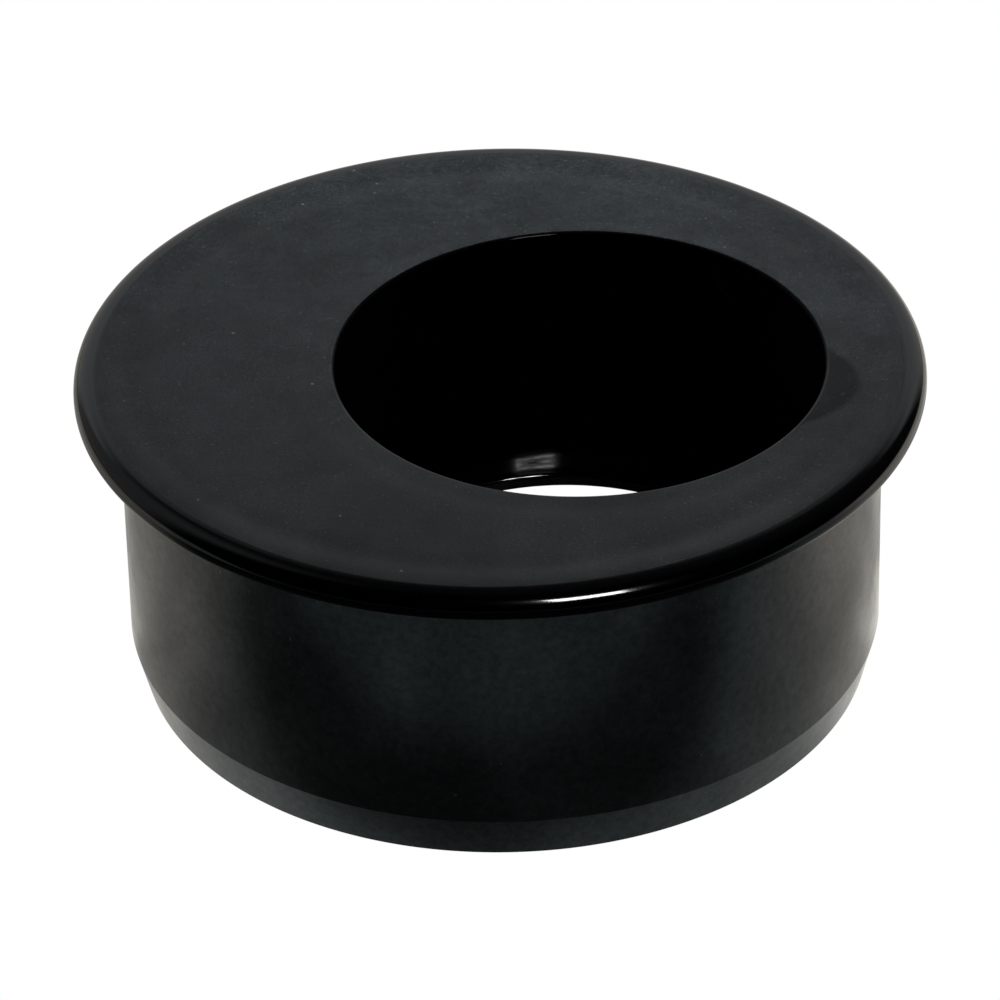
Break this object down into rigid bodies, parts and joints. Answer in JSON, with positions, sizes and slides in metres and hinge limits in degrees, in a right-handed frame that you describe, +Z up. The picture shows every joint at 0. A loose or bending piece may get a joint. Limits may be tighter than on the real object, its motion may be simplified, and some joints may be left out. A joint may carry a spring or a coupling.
{
  "type": "eccentric pipe reducer",
  "caption": "Black moulded drain-pipe adaptor: a round flange with a spigot below it and an off-centre through socket for a smaller pipe.",
  "frame": {"origin": "centre of the spigot's bottom rim, on the spigot's axis", "axes": "+Z up along the spigot's axis, out of the socket's mouth; +X from the spigot's axis towards the socket's axis"},
  "size_m": [0.1226, 0.1226, 0.0489],
  "materials": {
    "black_moulding": "satin black; the flange's top face is matte and its rolled edge is glossy"
  },
  "bodies": {
    "root": {"adaptor_body": "black_moulding"}
  },
  "joints": []
}
